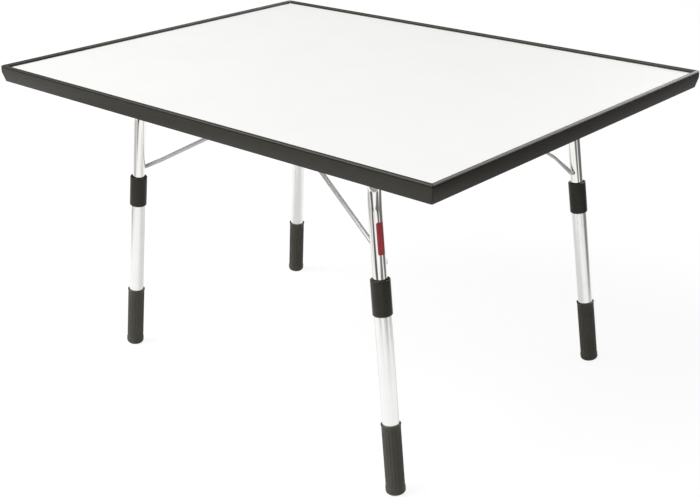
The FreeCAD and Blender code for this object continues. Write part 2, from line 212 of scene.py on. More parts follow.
class NodeTree(Graph):
    """A geometry node tree with named inputs."""

    def __init__(self, name: str) -> None:
        """Makes a tree with a geometry input and output.

        Args:
            name: Name of the tree.
        """
        super().__init__(bpy.data.node_groups.new(name, "GeometryNodeTree"))
        for way in ("INPUT", "OUTPUT"):
            self.tree.interface.new_socket("Geometry", in_out=way, socket_type="NodeSocketGeometry")
        self.inside = self.node("NodeGroupInput")
        self.outside = self.node("NodeGroupOutput")

    def input(self, name: str, kind: str) -> Socket:
        """Adds a named input and gives the output that brings it into the tree."""
        self.tree.interface.new_socket(name, in_out="INPUT", socket_type=kind)
        return self.inside.outputs[name]

    def captured(self, name: str, geometry: Socket, value: Socket) -> bpy.types.Node:
        """Adds a node that keeps a value for each point of a curve.

        Args:
            name: Name of the value.
            geometry: The curve.
            value: The value.

        Returns:
            The node.
        """
        made = self.node("GeometryNodeCaptureAttribute", {"Geometry": geometry}, domain="POINT")
        made.capture_items.new("FLOAT", name)
        self.feed(made, {name: value})
        return made

    def finish(self, geometry: Socket) -> None:
        """Ends the tree in real geometry with its material.

        Args:
            geometry: What the tree has made.
        """
        material = self.input("Finish", "NodeSocketMaterial")
        real = self.node("GeometryNodeRealizeInstances", {"Geometry": geometry}).outputs["Geometry"]
        painted = self.node("GeometryNodeSetMaterial", {"Geometry": real, "Material": material})
        self.feed(self.outside, {"Geometry": painted.outputs["Geometry"]})

    def put_on(self, target: Object, **values: object) -> None:
        """Adds the tree to an object as a modifier.

        Args:
            target: The object.
            values: Values of the named inputs, with underscores for spaces.
        """
        modifier = target.modifiers.new(self.tree.name, "NODES")
        modifier.node_group = self.tree
        for item in self.tree.interface.items_tree:
            key = item.name.lower().replace(" ", "_")
            if item.in_out == "INPUT" and key in values:
                modifier[item.identifier] = values[key]


def sweep_tree() -> NodeTree:
    """Makes a tree that sweeps a round section along the edges of a mesh.

    Returns:
        The tree, which also stores the grain along the sweep.
    """
    made = NodeTree("round_sweep")
    radius = made.input("Radius", "NodeSocketFloat")
    sides = made.input("Sides", "NodeSocketInt")
    capped = made.input("Capped", "NodeSocketBool")
    path = made.node("GeometryNodeMeshToCurve", {"Mesh": made.inside.outputs["Geometry"]})
    section = {"Resolution": sides, "Radius": radius}
    circle = made.node("GeometryNodeCurvePrimitiveCircle", section, mode="RADIUS")
    spline = made.node("GeometryNodeSplineParameter")
    along = made.captured("along", path.outputs["Curve"], spline.outputs["Length"])
    around = made.captured("around", circle.outputs["Curve"], spline.outputs["Factor"])
    curves = {"Curve": along.outputs["Geometry"], "Profile Curve": around.outputs["Geometry"]}
    sweep = made.node("GeometryNodeCurveToMesh", {**curves, "Fill Caps": capped})
    angle = made.math("MULTIPLY", around.outputs["around"], math.tau)
    grain = made.node("ShaderNodeCombineXYZ", {"X": made.math("MULTIPLY", made.math("COSINE", angle), radius),
                                               "Y": made.math("MULTIPLY", made.math("SINE", angle), radius),
                                               "Z": along.outputs["along"]})
    stored = {"Geometry": sweep.outputs["Mesh"], "Name": GRAIN, "Value": grain.outputs["Vector"]}
    store = made.node("GeometryNodeStoreNamedAttribute", stored, data_type="FLOAT_VECTOR", domain="POINT")
    made.finish(store.outputs["Geometry"])
    return made


def scatter_tree() -> NodeTree:
    """Makes a tree that puts a copy of a part on every point of a mesh.

    Returns:
        The tree, which turns each copy by chance.
    """
    made = NodeTree("turned_copies")
    part = made.input("Part", "NodeSocketObject")
    seed = made.input("Seed", "NodeSocketInt")
    source = made.node("GeometryNodeObjectInfo", {"Object": part})
    chance = made.node("FunctionNodeRandomValue", {"Seed": seed}, data_type="FLOAT")
    turn = next(socket for socket in chance.outputs if socket.enabled)
    high = next(socket for socket in chance.inputs if socket.enabled and socket.name == "Max")
    high.default_value = math.tau
    angles = made.node("ShaderNodeCombineXYZ", {"Z": turn})
    copies = made.node("GeometryNodeInstanceOnPoints", {"Points": made.inside.outputs["Geometry"],
                                                        "Instance": source.outputs["Geometry"],
                                                        "Rotation": angles.outputs["Vector"]})
    made.finish(copies.outputs["Instances"])
    return made


# Finishes


@dataclass(frozen=True)
class Finish:
    """Finish of a surface: two mottled colours, a varying gloss and a fine relief."""

    name: str
    slot: str | None
    color: Color
    shade: Color
    roughness: float
    roughness_spread: float
    mottle_scale: float
    pattern: Pattern
    stretch: tuple[float, float, float]
    relief_scale: float
    relief_height: float
    metallic: float = 0.0
    specular: float = 0.5
    coat: float = 0.0

    def material(self) -> bpy.types.Material:
        """Makes the finish as a material, once.

        Returns:
            The material.
        """
        known = bpy.data.materials.get(self.name)
        if known:
            return known
        surface = Surface(self.name)
        mottle = surface.noise(surface.coordinates(Pattern.BODY, EVEN), self.mottle_scale, MOTTLE_OCTAVES)
        grain = surface.coordinates(self.pattern, self.stretch)
        relief = surface.noise(grain, self.relief_scale, RELIEF_OCTAVES)
        low = self.roughness - self.roughness_spread
        high = self.roughness + self.roughness_spread
        surface.feed(surface.shader, {"Metallic": self.metallic, "Specular IOR Level": self.specular,
                                      "Coat Weight": self.coat,
                                      "Base Color": surface.mix(mottle, self.color, self.shade),
                                      "Roughness": surface.spread(relief, low, high),
                                      "Normal": surface.bump(relief, self.relief_height)})
        return surface.material


EVEN = (1.0, 1.0, 1.0)
WHITE = (1.0, 1.0, 1.0, 1.0)
DRAWN = (1.0, 1.0, 0.012)

WHITE_BOARD = Finish("white_board", "panel_board", (0.885, 0.89, 0.868), (0.87, 0.875, 0.855), 0.5, 0.05, 14,
                     Pattern.BODY, EVEN, 1100, 0.00003, specular=0.15)
EDGE_PLASTIC = Finish("edge_plastic", "rim_profile", (0.0315, 0.0288, 0.0223), (0.0355, 0.0325, 0.0258),
                      0.30, 0.04, 60, Pattern.DRAWN, DRAWN, 1400, 0.00001, specular=0.2)
CHROME = Finish("polished_chrome", "chrome_tube", (0.93, 0.92, 0.893), (0.91, 0.90, 0.873), 0.05, 0.02, 45,
                Pattern.DRAWN, DRAWN, 900, 0.000003, metallic=1)
SATIN_TUBE = Finish("satin_anodised", "satin_tube", (0.95, 0.95, 0.934), (0.92, 0.92, 0.905), 0.2, 0.04, 40,
                    Pattern.DRAWN, DRAWN, 1300, 0.000005, metallic=0.85)
BRIGHT_WIRE = Finish("bright_wire", "stay_wire", (0.59, 0.59, 0.58), (0.55, 0.55, 0.54), 0.5, 0.05, 80,
                     Pattern.DRAWN, DRAWN, 700, 0.000001, metallic=1)
SLEEVE_PLASTIC = Finish("satin_black_plastic", "sleeve_plastic", (0.0325, 0.0312, 0.0250),
                        (0.0385, 0.0368, 0.0300), 0.28, 0.05, 90, Pattern.BODY, EVEN, 2200, 0.00001,
                        specular=0.15)
FOOT_RUBBER = Finish("matt_black_rubber", "foot_rubber", (0.060, 0.0575, 0.0460), (0.068, 0.065, 0.053),
                     0.5, 0.08, 70, Pattern.BODY, EVEN, 1600, 0.00003, specular=0.2)
CLIP_PLASTIC = Finish("matt_black_clip", "clip_plastic", (0.030, 0.030, 0.028), (0.038, 0.038, 0.036),
                      0.5, 0.06, 90, Pattern.BODY, EVEN, 1800, 0.00004)
NYLON = Finish("natural_nylon", "bush_nylon", (0.55, 0.55, 0.52), (0.50, 0.50, 0.47), 0.5, 0.06, 90,
               Pattern.BODY, EVEN, 1800, 0.00003)
ZINC = Finish("zinc_screw", "screw_steel", (0.62, 0.62, 0.60), (0.52, 0.52, 0.50), 0.32, 0.08, 260,
              Pattern.BODY, EVEN, 3000, 0.00001, metallic=1)
RED_FILM = Finish("plain_red_film", None, (0.42, 0.028, 0.036), (0.36, 0.022, 0.030), 0.3, 0.05, 120,
                  Pattern.BODY, EVEN, 1500, 0.00001, coat=0.3)


# Shared ways of making a mesh


def joint(name: str) -> dict:
    """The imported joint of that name."""
    return next(entry for entry in frame["joints"] if entry["name"] == name)


def add_object(name: str, data: bpy.types.ID) -> Object:
    """Puts a mesh, a camera or a lamp into the scene as an object at the origin.

    Args:
        name: Name of the object.
        data: What it shows.

    Returns:
        The object.
    """
    made = bpy.data.objects.new(name, data)
    bpy.context.scene.collection.objects.link(made)
    return made


def add_piece(name: str, mesh: Mesh, finish: Finish, body: str, *nodes: str) -> Object:
    """Puts a finished mesh on its body.

    Args:
        name: Name of the piece.
        mesh: Its mesh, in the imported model's frame.
        finish: Its finish.
        body: Body that it rides on.
        nodes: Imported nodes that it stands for.

    Returns:
        The piece.
    """
    mesh.materials.clear()
    mesh.materials.append(finish.material())
    piece = add_object(name, mesh)
    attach(piece, body)
    if nodes:
        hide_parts(*nodes)
    LOG.info("%s on %s, %d faces", name, body, len(mesh.polygons))
    return piece


def dress_nodes(finish: Finish, nodes: Iterable[str]) -> None:
    """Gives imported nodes, whose shape is right as it is, a finish.

    Args:
        finish: The finish.
        nodes: Names of the nodes.
    """
    for node in nodes:
        mesh = frame["nodes"][node].data
        mesh.materials.clear()
        mesh.materials.append(finish.material())
        LOG.info("%s dressed as %s", node, finish.name)


def mesh_from(name: str, shape: bmesh.types.BMesh) -> Mesh:
    """Turns a shape into a mesh.

    Args:
        name: Name of the mesh.
        shape: The shape, which is freed.

    Returns:
        The mesh.
    """
    mesh = bpy.data.meshes.new(name)
    shape.to_mesh(mesh)
    shape.free()
    return mesh


def smoothed(mesh: Mesh) -> Mesh:
    """Shades a mesh smooth, apart from its corners.

    Args:
        mesh: The mesh.

    Returns:
        The same mesh.
    """
    mesh.shade_smooth()
    mesh.set_sharp_from_angle(angle=SMOOTH_ANGLE)
    return mesh


def finished_mesh(name: str, shape: bmesh.types.BMesh, place: Matrix, grain: str = "xyz") -> Mesh:
    """Turns a shape in its own straight space into a placed mesh that remembers its grain.

    Args:
        name: Name of the mesh.
        shape: The shape, which is freed.
        place: Where it goes.
        grain: Order of the axes, with the one along the grain last.

    Returns:
        The mesh, with smooth round faces and sharp corners.
    """
    bmesh.ops.remove_doubles(shape, verts=shape.verts, dist=MERGE_DISTANCE)
    bmesh.ops.recalc_face_normals(shape, faces=shape.faces)
    mesh = mesh_from(name, shape)
    stored = mesh.attributes.new(GRAIN, "FLOAT_VECTOR", "POINT")
    for vertex, value in zip(mesh.vertices, stored.data):
        value.vector = getattr(vertex.co, grain)
    mesh.transform(place)
    return smoothed(mesh)


def skinned_rings(rings: Sequence[Sequence[Vector]], closed: bool = True) -> bmesh.types.BMesh:
    """Skin over closed rings of equally many points.

    Args:
        rings: Points of each ring.
        closed: Whether the last ring joins the first; if not, both get a flat face.

    Returns:
        The skin.
    """
    shape = bmesh.new()
    rows = [[shape.verts.new(point) for point in ring] for ring in rings]
    count = len(rings[0])
    for row, following in zip(rows, rows[1:] + rows[:1] if closed else rows[1:]):
        for index in range(count):
            after = (index + 1) % count
            shape.faces.new((row[index], row[after], following[after], following[index]))
    if not closed:
        shape.faces.new(rows[0])
        shape.faces.new(rows[-1])
    return shape


def turned_ring(radii: Sequence[float], height: float) -> list[Vector]:
    """Level ring about the local Z axis, of points at even angles and these distances from it."""
    turns = [math.tau / len(radii) * index for index in range(len(radii))]
    return [Vector((r * math.cos(turn), r * math.sin(turn), height)) for r, turn in zip(radii, turns)]


def turned(name: str, profile: Sequence[RadiusHeight], segments: int, place: Matrix) -> Mesh:
    """Placed mesh, turned about the local Z axis from a closed profile."""
    rings = [turned_ring([radius] * segments, height) for radius, height in profile]
    return finished_mesh(name, skinned_rings(rings), place)


def rounded(profile: Sequence[RadiusHeight], radius: float, steps: int = 4) -> list[RadiusHeight]:
    """Closed profile with its corners rounded.

    Args:
        profile: Corner points.
        radius: Radius of the rounds, less where an edge is short.
        steps: Points on each round, less one.

    Returns:
        Points of the rounded profile.
    """
    points = []
    corners = [Vector(corner) for corner in profile]
    for index, corner in enumerate(corners):
        to_before = corners[index - 1] - corner
        to_after = corners[(index + 1) % len(corners)] - corner
        setback = min(radius, to_before.length * ROUND_SHARE, to_after.length * ROUND_SHARE)
        start = corner + to_before.normalized() * setback
        end = corner + to_after.normalized() * setback
        for step in range(steps + 1):
            t = step / steps
            point = start * (1 - t) ** 2 + corner * 2 * t * (1 - t) + end * t ** 2
            points.append((max(point.x, 0.0), point.y))
    return points


def bent_path(points: Sequence[Vector], radii: Sequence[float],
              step: float = math.radians(3)) -> list[Vector]:
    """Straight runs joined by tangent arcs.

    Args:
        points: Ends and corners of the path.
        radii: Bend radius at each corner.
        step: Angle between points on an arc.

    Returns:
        Points along the path.
    """
    path = [points[0]]
    for before, corner, after, radius in zip(points, points[1:], points[2:], radii):
        arriving = (before - corner).normalized()
        leaving = (after - corner).normalized()
        half = arriving.angle(leaving) / 2
        bisector = (arriving + leaving).normalized()
        centre = corner + bisector * (radius / math.sin(half))
        first = corner + arriving * (radius / math.tan(half)) - centre
        turn = math.pi - 2 * half
        axis = first.cross(corner + leaving * (radius / math.tan(half)) - centre).normalized()
        count = max(2, math.ceil(turn / step))
        path += [centre + Matrix.Rotation(turn * i / count, 3, axis) @ first for i in range(count + 1)]
    return path + [points[-1]]


def mirrored_run(points: Sequence[Vector]) -> list[Vector]:
    """The points followed by their mirror images in Y."""
    return list(points) + [Vector((p.x, -p.y, p.z)) for p in reversed(points)]


def real_mesh(worked: Object) -> Mesh:
    """Plain mesh of an object with its modifiers, which is then removed.

    Args:
        worked: The object.

    Returns:
        Its evaluated mesh.
    """
    graph = bpy.context.evaluated_depsgraph_get()
    mesh = bpy.data.meshes.new_from_object(worked.evaluated_get(graph), preserve_all_data_layers=True,
                                           depsgraph=graph)
    bpy.data.objects.remove(worked)
    return mesh


def cut_away(target: Object, cutter: Object) -> Mesh:
    """Cuts one object out of another and removes both.

    Args:
        target: The object that is cut.
        cutter: The object that cuts it.

    Returns:
        The target's mesh with its modifiers and the cut.
    """
    modifier = target.modifiers.new("cut", "BOOLEAN")
    modifier.operation = "DIFFERENCE"
    modifier.solver = "EXACT"
    modifier.object = cutter
    mesh = smoothed(real_mesh(target))
    bpy.data.objects.remove(cutter)
    return mesh


def point_object(name: str, points: Sequence[Vector], joined: bool) -> Object:
    """Makes an object of points.

    Args:
        name: Name of the object.
        points: The points.
        joined: Whether edges run from each point to the next.

    Returns:
        The object.
    """
    edges = [(i, i + 1) for i in range(len(points) - 1)] if joined else []
    mesh = bpy.data.meshes.new(name)
    mesh.from_pydata([tuple(point) for point in points], edges, [])
    return add_object(name, mesh)


# The table's own pieces


@dataclass
class TableTop:
    """Board and the mitred edge profile round it."""

    lip_width: float = 0.006
    bead_rise: float = 0.002
    face_height: float = 0.0104
    slant: float = 0.0032
    ledge_reach: float = 0.012
    ledge_thickness: float = 0.002
    skirt: float = 0.0022
    groove_depth: float = 0.0012
    groove_width: float = 0.0010
    groove_drop: float = 0.0004
    mitre_gap: float = 0.0002
    corner_radius: float = 0.0012
    corner_steps: int = 6
    least_share: float = 0.02
    round_steps: int = 16

    def arc(self, start: Vector, end: Vector, rise: float) -> list[Vector]:
        """Points of a circular arc over a chord.

        Args:
            start: First point.
            end: Last point.
            rise: Height of the arc, to the left of the chord.

        Returns:
            Points from start to end.
        """
        chord = end - start
        radius = (chord.length ** 2 / 4 + rise ** 2) / (2 * rise)
        left = Vector((-chord.y, chord.x)).normalized()
        centre = (start + end) / 2 + left * (rise - radius)
        half = math.copysign(math.atan2(chord.length / 2, abs(radius) - abs(rise)), rise)
        turns = [half * (2 * i / self.round_steps - 1) for i in range(self.round_steps + 1)]
        along = chord.normalized()
        return [centre + (left * math.cos(turn) + along * math.sin(turn)) * radius for turn in turns]

    def section(self) -> list[Vector]:
        """Draws the edge profile.

        Returns:
            Its outline: X inwards from the outer face, Y up from the floor.
        """
        low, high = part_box("rim_front")
        top, bottom = high.z, low.z
        inner = self.lip_width
        shoulder = top - self.bead_rise
        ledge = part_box("top_panel")[0].z
        under = ledge - self.ledge_thickness
        groove = shoulder - self.groove_drop
        outline = self.arc(Vector((0, shoulder)), Vector((inner, shoulder)), self.bead_rise)
        tip, inside = inner + self.ledge_reach, self.slant + self.skirt
        corners = ((inner, ledge), (tip, ledge), (tip, under), (inside, under), (inside, bottom),
                   (self.slant, bottom), (0, top - self.face_height))
        outline += [Vector(corner) for corner in corners]
        outline += self.arc(Vector((0, groove - self.groove_width)), Vector((0, groove)), -self.groove_depth)
        return outline

    def corner_round(self, point: Vector) -> float:
        """Finds how round the table's vertical corner is at a point of the profile.

        Args:
            point: The point.

        Returns:
            The radius, near nothing on the profile's inner side.
        """
        share = 1 - point.x / self.lip_width
        if point.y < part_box("rim_front")[1].z - self.bead_rise:
            share = 1 if point.x <= self.slant else 0
        return self.corner_radius * max(share, self.least_share)

    def profile_length(self, name: str, length: float, reach: float, turn: float) -> Mesh:
        """One mitred length of the edge profile.

        Args:
            name: Name of the mesh.
            length: Length over the outer corners.
            reach: Distance of the outer face from the middle of the table.
            turn: Turn about the vertical axis from the end at -X.

        Returns:
            The mesh, whose grain runs along the profile.
        """
        outline = self.section()
        radii = [self.corner_round(p) for p in outline]
        half = length / 2 - self.mitre_gap
        turns = [math.pi / 4 * (1 - step / self.corner_steps) for step in range(self.corner_steps + 1)]
        rings = []
        for end, order in ((-1, turns), (1, turns[::-1])):
            for turn_in in order:
                rings.append([Vector((p.x + radius * (1 - math.cos(turn_in)) - reach,
                                      end * (half - p.x - radius * (1 - math.sin(turn_in))), p.y))
                              for p, radius in zip(outline, radii)])
        shape = skinned_rings(rings, closed=False)
        return finished_mesh(name, shape, Matrix.Rotation(turn, 4, "Z"), grain="xzy")

    def build(self) -> None:
        """Makes the edge profile and dresses the board."""
        dress_nodes(WHITE_BOARD, ["top_panel"])
        low, high = CAD_BOX
        length = high.x - low.x
        width = high.y - low.y
        for index, side in enumerate(("left", "front", "right", "back")):
            run, reach = (width, length / 2) if index % 2 == 0 else (length, width / 2)
            mesh = self.profile_length(f"{side}_edge_profile", run, reach, index * math.pi / 2)
            add_piece(f"{side}_edge_profile", mesh, EDGE_PLASTIC, "table_top", f"rim_{side}")


@dataclass
class LegGeometry:
    """Where one leg runs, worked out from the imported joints."""

    pair: Pair
    side: Side
    lock_drop: float = 0.110

    @property
    def name(self) -> str:
        """Start of the names of the leg's nodes and joints."""
        return f"{self.pair.value}_{self.side.value}"

    @property
    def axis(self) -> Vector:
        """Direction down the leg."""
        return Vector(joint(f"{self.name}_height")["axis"]).normalized()

    @property
    def knee(self) -> Vector:
        """Corner point of the bend at the top of the leg."""
        return Vector(joint(f"{self.name}_lock")["pos_m"]) - self.axis * self.lock_drop

    @property
    def pivot(self) -> Vector:
        """Middle of the pair's cross bar."""
        return Vector(joint(f"{self.pair.value}_fold")["pos_m"])

    def placement(self) -> Matrix:
        """Works out how a shape drawn about local Z, with the knee at the origin, goes on the leg.

        Returns:
            The placing matrix.
        """
        lean = math.atan2(abs(self.axis.x), -self.axis.z)
        spread = math.asin(abs(self.axis.y))
        turn = Matrix.Rotation(-self.pair.direction * lean, 4, "Y")
        tilt = Matrix.Rotation(self.side.sign * spread, 4, "X")
        return Matrix.Translation(self.knee) @ turn @ tilt

    def heights(self, node: str) -> tuple[float, float]:
        """Finds where a node ends along the leg.

        Args:
            node: Name of the node.

        Returns:
            Heights of its upper and its lower end above the knee.
        """
        knee, axis = self.knee, self.axis
        ends = [(knee - vertex.co).dot(axis) for vertex in frame["nodes"][node].data.vertices]
        return max(ends), min(ends)


@dataclass
class LegPair:
    """Bent tube and wire stay of one pair of legs."""

    pair: Pair
    sweep: NodeTree
    hook_drop: float
    kink_rise: float
    kink_inset: float
    bar_half: float
    tube_radius: float = 0.009
    tube_wall: float = 0.0012
    tube_sides: int = 72
    knee_drop: float = 0.056
    neck_lean: float = math.radians(5)
    knee_radius: float = 0.160
    corner_radius: float = 0.040
    wire_radius: float = 0.003
    wire_sides: int = 32
    hook_reach: float = 0.0056
    hook_gap: float = 0.0005
    hook_turn: float = 0.0040
    hook_radius: float = 0.0034
    kink_run: float = 0.026
    bend_radius: float = 0.018
    bar_corner_radius: float = 0.012
    hole_radius: float = 0.0035
    hole_sides: int = 40

    def __post_init__(self) -> None:
        """Finds the pair's back leg, which the front one mirrors."""
        self.leg = LegGeometry(self.pair, Side.BACK)

    def leg_point(self, drop: float) -> Vector:
        """Point on the back leg's axis at a distance below the pivot in the frame's plane."""
        spread = math.asin(abs(self.leg.axis.y))
        return self.leg.knee + self.leg.axis * ((drop - self.knee_drop) / math.cos(spread))

    def tube_path(self) -> list[Vector]:
        """Works out the line of the bent tube.

        Returns:
            Points from one inner end over the cross bar to the other.
        """
        end = self.leg.knee - self.leg.axis * self.leg.heights(f"{self.pair.value}_leg_frame")[1]
        corner_half = self.leg.knee.y - self.knee_drop * math.tan(self.neck_lean)
        corner = Vector((self.leg.pivot.x, corner_half, self.leg.pivot.z))
        run = mirrored_run([end, self.leg.knee, corner])
        return bent_path(run, [self.knee_radius, self.corner_radius, self.corner_radius, self.knee_radius])

    def stay_path(self) -> list[Vector]:
        """Works out the line of the stay.

        Returns:
            Points from one hook over its bar to the other.
        """
        anchor = self.leg_point(self.hook_drop)
        tip = anchor - Vector((0, self.tube_radius + self.hook_gap, 0))
        hook = anchor - Vector((0, self.tube_radius + self.hook_turn, 0))
        inset = self.tube_radius + self.hook_reach + self.kink_inset
        kink = anchor + Vector((-self.pair.direction * self.kink_run, -inset, self.kink_rise))
        bar = Vector(joint(f"{self.pair.value}_stay_fold")["pos_m"]) + Vector((0, self.bar_half, 0))
        radii = [self.hook_radius, self.bend_radius, self.bar_corner_radius]
        return bent_path(mirrored_run([tip, hook, kink, bar]), radii + radii[::-1])

    def hook_cutter(self) -> Object:
        """Makes the long thin rod that cuts the two hook holes.

        Returns:
            The rod as an object.
        """
        anchor = self.leg_point(self.hook_drop)
        shape = bmesh.new()
        turn = Matrix.Rotation(math.pi / 2, 4, "X")
        bmesh.ops.create_cone(shape, cap_ends=True, segments=self.hole_sides, radius1=self.hole_radius,
                              radius2=self.hole_radius, depth=2 * anchor.y,
                              matrix=Matrix.Translation((anchor.x, 0, anchor.z)) @ turn)
        return add_object("hook_cutter", mesh_from("hook_cutter", shape))

    def build_tube(self) -> None:
        """Makes the bent tube with its wall and its hook holes."""
        name = f"{self.pair.value}_bent_tube"
        worked = point_object(name + "_line", self.tube_path(), joined=True)
        self.sweep.put_on(worked, radius=self.tube_radius, sides=self.tube_sides, capped=False,
                          finish=CHROME.material())
        wall = worked.modifiers.new("wall", "SOLIDIFY")
        wall.thickness = self.tube_wall
        wall.offset = -1
        mesh = cut_away(worked, self.hook_cutter())
        add_piece(name, mesh, CHROME, f"{self.pair.value}_frame", f"{self.pair.value}_leg_frame")

    def build_stay(self) -> None:
        """Makes the wire stay."""
        name = f"{self.pair.value}_wire_stay"
        worked = point_object(name + "_line", self.stay_path(), joined=True)
        self.sweep.put_on(worked, radius=self.wire_radius, sides=self.wire_sides, capped=True,
                          finish=BRIGHT_WIRE.material())
        body = f"{self.pair.value}_stay"
        add_piece(name, smoothed(real_mesh(worked)), BRIGHT_WIRE, body, body)


@dataclass
class LowerLeg:
    """Twist sleeve, lower tube and foot of one leg."""

    leg: LegGeometry
    segments: int = 96
    tube_radius: float = 0.011
    tube_wall: float = 0.001
    sleeve_radius: float = 0.01275
    sleeve_chamfer: float = 0.0006
    sleeve_round: float = 0.0012
    edge_round: float = 0.0005
    mouth_depth: float = 0.0026
    mouth_flare: float = 0.0019
    neck_radius: float = 0.0094
    neck_length: float = 0.004
    taper_length: float = 0.017
    seat_radius: float = 0.01018
    sleeve_bore: float = 0.01108
    foot_radius: float = 0.0126
    foot_length: float = 0.098
    band_radius: float = 0.0132
    band_height: float = 0.011
    lip_flare: float = 0.0007
    lip_height: float = 0.004
    sole: float = 0.008
    sole_round: float = 0.005
    sole_steps: int = 6
    flute_count: int = 18
    flute_depth: float = 0.0006
    flute_radius: float = 0.0015
    flute_margin: float = 0.005
    flute_fade: float = 0.002
    flute_steps: int = 12

    def sleeve_profile(self, top: float, bottom: float) -> list[RadiusHeight]:
        """Draws the twist sleeve.

        Args:
            top: Height of its upper end, from the knee.
            bottom: Height of its lower end.

        Returns:
            Its closed profile.
        """
        seat_top = top - self.mouth_depth - self.neck_length
        seat = seat_top - self.taper_length
        return [(self.neck_radius + self.mouth_flare, top), (self.sleeve_radius - self.sleeve_chamfer, top),
                (self.sleeve_radius, top - self.sleeve_chamfer),
                (self.sleeve_radius, bottom + self.sleeve_round),
                (self.sleeve_radius - self.sleeve_round, bottom), (self.sleeve_bore, bottom),
                (self.sleeve_bore, seat), (self.seat_radius, seat_top), (self.neck_radius, seat_top),
                (self.neck_radius, top - self.mouth_depth)]

    def foot_profile(self, bottom: float) -> list[RadiusHeight]:
        """Draws the foot without its flutes.

        Args:
            bottom: Height of the sole, from the knee.

        Returns:
            Its closed profile, from the sole upwards.
        """
        lip = self.foot_radius + self.lip_flare
        ring = self.band_radius - self.sole_round
        top = self.foot_length
        turns = [math.pi / 2 * i / self.sole_steps for i in range(self.sole_steps + 1)]
        points = [(ring + self.sole_round * math.sin(a), self.sole_round * (1 - math.cos(a))) for a in turns]
        points += [(self.band_radius, self.band_height - self.lip_flare),
                   (self.foot_radius, self.band_height)]
        low = self.band_height + self.flute_margin
        high = top - self.lip_height - self.flute_margin
        points += [(self.foot_radius, h) for h in (low, low + self.flute_fade, high - self.flute_fade, high)]
        points += [(self.foot_radius, top - self.lip_height), (lip, top - self.lip_flare),
                   (lip - self.lip_flare, top), (self.tube_radius, top), (self.tube_radius, self.sole),
                   (0, self.sole), (0, 0)]
        return [(radius, height + bottom) for radius, height in points]

    def flute_cut(self, angle: float) -> float:
        """Finds how deep the flutes cut into the foot's round side.

        Args:
            angle: Angle about the leg's axis.

        Returns:
            The depth there.
        """
        spacing = math.tau / self.flute_count
        off = (angle + spacing / 2) % spacing - spacing / 2
        centre = self.foot_radius - self.flute_depth + self.flute_radius
        across = centre * math.sin(off)
        if abs(across) >= self.flute_radius:
            return 0
        surface = centre * math.cos(off) - math.sqrt(self.flute_radius ** 2 - across ** 2)
        return max(0, self.foot_radius - surface)

    def foot_mesh(self, name: str, bottom: float) -> Mesh:
        """Fluted foot.

        Args:
            name: Name of the mesh.
            bottom: Height of the sole, from the knee.

        Returns:
            The mesh, on the leg.
        """
        count = self.flute_count * self.flute_steps
        low = bottom + self.band_height + self.flute_margin + self.flute_fade / 2
        high = bottom + self.foot_length - self.lip_height - self.flute_margin - self.flute_fade / 2
        cuts = [self.flute_cut(math.tau * i / count) for i in range(count)]
        rings = []
        for radius, height in self.foot_profile(bottom):
            fluted = radius == self.foot_radius and low < height < high
            radii = [radius - cut for cut in cuts] if fluted else [radius] * count
            rings.append(turned_ring(radii, height))
        return finished_mesh(name, skinned_rings(rings), self.leg.placement())

    def build(self) -> None:
        """Makes the leg's pieces, and dresses those that are hidden inside."""
        name = self.leg.name
        body = name + "_leg"
        place = self.leg.placement()
        profile = self.sleeve_profile(*self.leg.heights(name + "_lock_sleeve"))
        sleeve = turned(name + "_twist_sleeve", rounded(profile, self.edge_round), self.segments, place)
        add_piece(name + "_twist_sleeve", sleeve, SLEEVE_PLASTIC, name + "_sleeve", name + "_lock_sleeve")
        top, bottom = self.leg.heights(name + "_lower_tube")
        inside = self.tube_radius - self.tube_wall
        wall = [(self.tube_radius, top), (self.tube_radius, bottom), (inside, bottom), (inside, top)]
        tube = turned(name + "_satin_tube", wall, self.segments, place)
        add_piece(name + "_satin_tube", tube, SATIN_TUBE, body, name + "_lower_tube")
        foot = self.foot_mesh(name + "_rubber_foot", self.leg.heights(name + "_foot")[1])
        add_piece(name + "_rubber_foot", foot, FOOT_RUBBER, body, name + "_foot")
        dress_nodes(NYLON, [name + "_clamp_collet", name + "_guide_bush"])


@dataclass(frozen=True)
class ClipKind:
    """One kind of saddle clip."""

    name: str
    hinge: str
    wall: float
    flange: float


